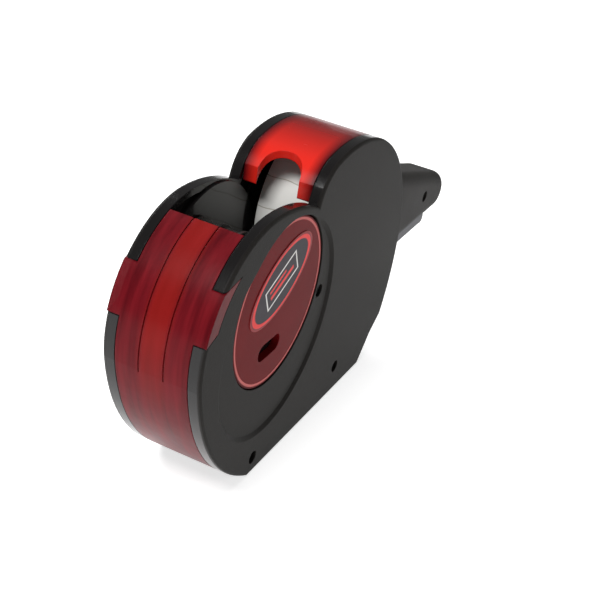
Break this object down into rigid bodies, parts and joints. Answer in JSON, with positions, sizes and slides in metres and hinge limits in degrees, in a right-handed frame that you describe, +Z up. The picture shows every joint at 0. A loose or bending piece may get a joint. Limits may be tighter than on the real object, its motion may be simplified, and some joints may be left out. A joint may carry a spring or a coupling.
{
  "type": "hand-held price labeler",
  "caption": "Hand-held price labeling gun with a round print head, red front cover and reel lid, label roll inside, and a rear grip with a squeeze trigger.",
  "frame": {"origin": "on the flat underside at mid width, below the centre of the round side disc", "axes": "+X from the round nose to the tail of the grip, +Y towards the right-hand side with the selector knob, +Z up"},
  "size_m": [0.253, 0.046, 0.1185],
  "materials": {
    "shell": "fine-grained black plastic with smoother rims",
    "grip": "fine-grained black plastic",
    "disc": "clear dark red plastic",
    "sticker": "printed film, dark grey field with a red outline",
    "cover": "clear dark red plastic, faintly frosted inside",
    "lid": "clear bright red plastic",
    "paper": "white self-adhesive labels on backing",
    "card": "brown board",
    "backing": "waxed backing paper",
    "black_part": "moulded black plastic",
    "trigger": "moulded dark grey plastic",
    "band_rubber": "black rubber",
    "ink": "ink-soaked foam",
    "wheel": "moulded off-white plastic",
    "steel": "plain steel"
  },
  "bodies": {
    "housing": {"arm_shaft": "steel", "cover_hinge_pin": "steel", "feed_axle": "steel", "grip_left": "grip", "grip_right": "grip", "grip_screw": "steel", "ink_holder": "black_part", "label_web": "backing", "left_shell": "shell", "pawl_pin": "steel", "peel_plate": "steel", "plain_pins": "steel", "platen": "black_part", "platen_pad": "band_rubber", "reel_axle": "steel", "right_shell": "shell", "shell_screws": "steel", "side_disc_left": "disc", "side_disc_right": "disc", "sticker_left": "sticker", "sticker_right": "sticker", "trigger_pin": "steel", "trigger_spring": "steel"},
    "front_cover": {"front_cover": "cover"},
    "reel_lid": {"reel_lid": "lid"},
    "base_flap": {"base_flap": "black_part"},
    "reel": {"label_roll": "paper", "roll_core": "card", "reel_hub": "wheel"},
    "print_arm": {"print_arm": "black_part", "type_bar": "black_part", "type_bands": "band_rubber", "wheel_tube": "black_part", "head_cap": "black_part", "link_pin_front": "steel"},
    "selector_rod": {"selector_shaft": "steel"},
    "selector_knob": {"selector_knob": "black_part"},
    "ink_roller": {"ink_roller": "ink"},
    "applicator_roller": {"applicator_roller": "band_rubber"},
    "feed_drum": {"feed_wheel": "wheel", "ratchet_wheel": "wheel"},
    "feed_pawl": {"feed_pawl": "wheel"},
    "trigger": {"trigger_lever": "trigger", "link_pin_rear": "steel"},
    "pull_link": {"pull_link": "steel"},
    "setting_wheel_1": {"setting_wheel_1": "wheel"},
    "setting_wheel_2": {"setting_wheel_2": "wheel"},
    "setting_wheel_3": {"setting_wheel_3": "wheel"},
    "setting_wheel_4": {"setting_wheel_4": "wheel"},
    "setting_wheel_5": {"setting_wheel_5": "wheel"},
    "setting_wheel_6": {"setting_wheel_6": "wheel"},
    "setting_wheel_7": {"setting_wheel_7": "wheel"},
    "setting_wheel_8": {"setting_wheel_8": "wheel"}
  },
  "joints": [
    {"name": "cover_hinge", "type": "hinge", "parent": "housing", "child": "front_cover", "pos_m": [-0.024, 0, 0.014], "axis": [0, -1, 0], "range_deg": [0, 60]},
    {"name": "lid_hinge", "type": "hinge", "parent": "housing", "child": "reel_lid", "pos_m": [0.10067, 0, 0.08894], "axis": [0, 1, 0], "range_deg": [0, 100]},
    {"name": "flap_hinge", "type": "hinge", "parent": "housing", "child": "base_flap", "pos_m": [0.088, 0, 0.0027], "axis": [0, -1, 0], "range_deg": [0, 35]},
    {"name": "reel_spin", "type": "hinge", "parent": "housing", "child": "reel", "pos_m": [0.06, 0, 0.084], "axis": [0, 1, 0], "continuous": true},
    {"name": "trigger_hinge", "type": "hinge", "parent": "housing", "child": "trigger", "pos_m": [0.104, 0, 0.033], "axis": [0, -1, 0], "range_deg": [0, 8], "stiffness_Nm_per_rad": 0.5, "springref_deg": -22.92},
    {"name": "arm_hinge", "type": "hinge", "parent": "housing", "child": "print_arm", "pos_m": [0.06, 0, 0.033], "axis": [0, -1, 0], "range_deg": [0, 6]},
    {"name": "link_hinge", "type": "hinge", "parent": "trigger", "child": "pull_link", "pos_m": [0.104, 0, 0.02474], "axis": [0, 1, 0], "range_deg": [0, 8]},
    {"name": "setting_wheel_1_spin", "type": "hinge", "parent": "print_arm", "child": "setting_wheel_1", "pos_m": [-0.012, 0, 0.085], "axis": [0, 1, 0], "continuous": true},
    {"name": "setting_wheel_2_spin", "type": "hinge", "parent": "print_arm", "child": "setting_wheel_2", "pos_m": [-0.012, 0, 0.085], "axis": [0, 1, 0], "continuous": true},
    {"name": "setting_wheel_3_spin", "type": "hinge", "parent": "print_arm", "child": "setting_wheel_3", "pos_m": [-0.012, 0, 0.085], "axis": [0, 1, 0], "continuous": true},
    {"name": "setting_wheel_4_spin", "type": "hinge", "parent": "print_arm", "child": "setting_wheel_4", "pos_m": [-0.012, 0, 0.085], "axis": [0, 1, 0], "continuous": true},
    {"name": "setting_wheel_5_spin", "type": "hinge", "parent": "print_arm", "child": "setting_wheel_5", "pos_m": [-0.012, 0, 0.085], "axis": [0, 1, 0], "continuous": true},
    {"name": "setting_wheel_6_spin", "type": "hinge", "parent": "print_arm", "child": "setting_wheel_6", "pos_m": [-0.012, 0, 0.085], "axis": [0, 1, 0], "continuous": true},
    {"name": "setting_wheel_7_spin", "type": "hinge", "parent": "print_arm", "child": "setting_wheel_7", "pos_m": [-0.012, 0, 0.085], "axis": [0, 1, 0], "continuous": true},
    {"name": "setting_wheel_8_spin", "type": "hinge", "parent": "print_arm", "child": "setting_wheel_8", "pos_m": [-0.012, 0, 0.085], "axis": [0, 1, 0], "continuous": true},
    {"name": "selector_slide", "type": "slide", "parent": "print_arm", "child": "selector_rod", "axis": [0, 1, 0], "range_m": [0, 0.0196]},
    {"name": "selector_turn", "type": "hinge", "parent": "selector_rod", "child": "selector_knob", "pos_m": [-0.012, 0, 0.085], "axis": [0, 1, 0], "continuous": true},
    {"name": "ink_spin", "type": "hinge", "parent": "housing", "child": "ink_roller", "pos_m": [-0.022, 0, 0.0305], "axis": [0, 1, 0], "continuous": true},
    {"name": "applicator_spin", "type": "hinge", "parent": "housing", "child": "applicator_roller", "pos_m": [-0.0132, 0, 0.0066], "axis": [0, 1, 0], "continuous": true},
    {"name": "feed_spin", "type": "hinge", "parent": "housing", "child": "feed_drum", "pos_m": [0.033, 0, 0.0145], "axis": [0, 1, 0], "continuous": true},
    {"name": "pawl_tilt", "type": "hinge", "parent": "housing", "child": "feed_pawl", "pos_m": [0.049, 0, 0.0125], "axis": [0, 1, 0], "range_deg": [0, 10], "stiffness_Nm_per_rad": 0.01}
  ],
  "couplings": [
    {"joint": "arm_hinge", "follows": "trigger_hinge", "ratio": 0.75},
    {"joint": "link_hinge", "follows": "trigger_hinge", "ratio": 1}
  ]
}
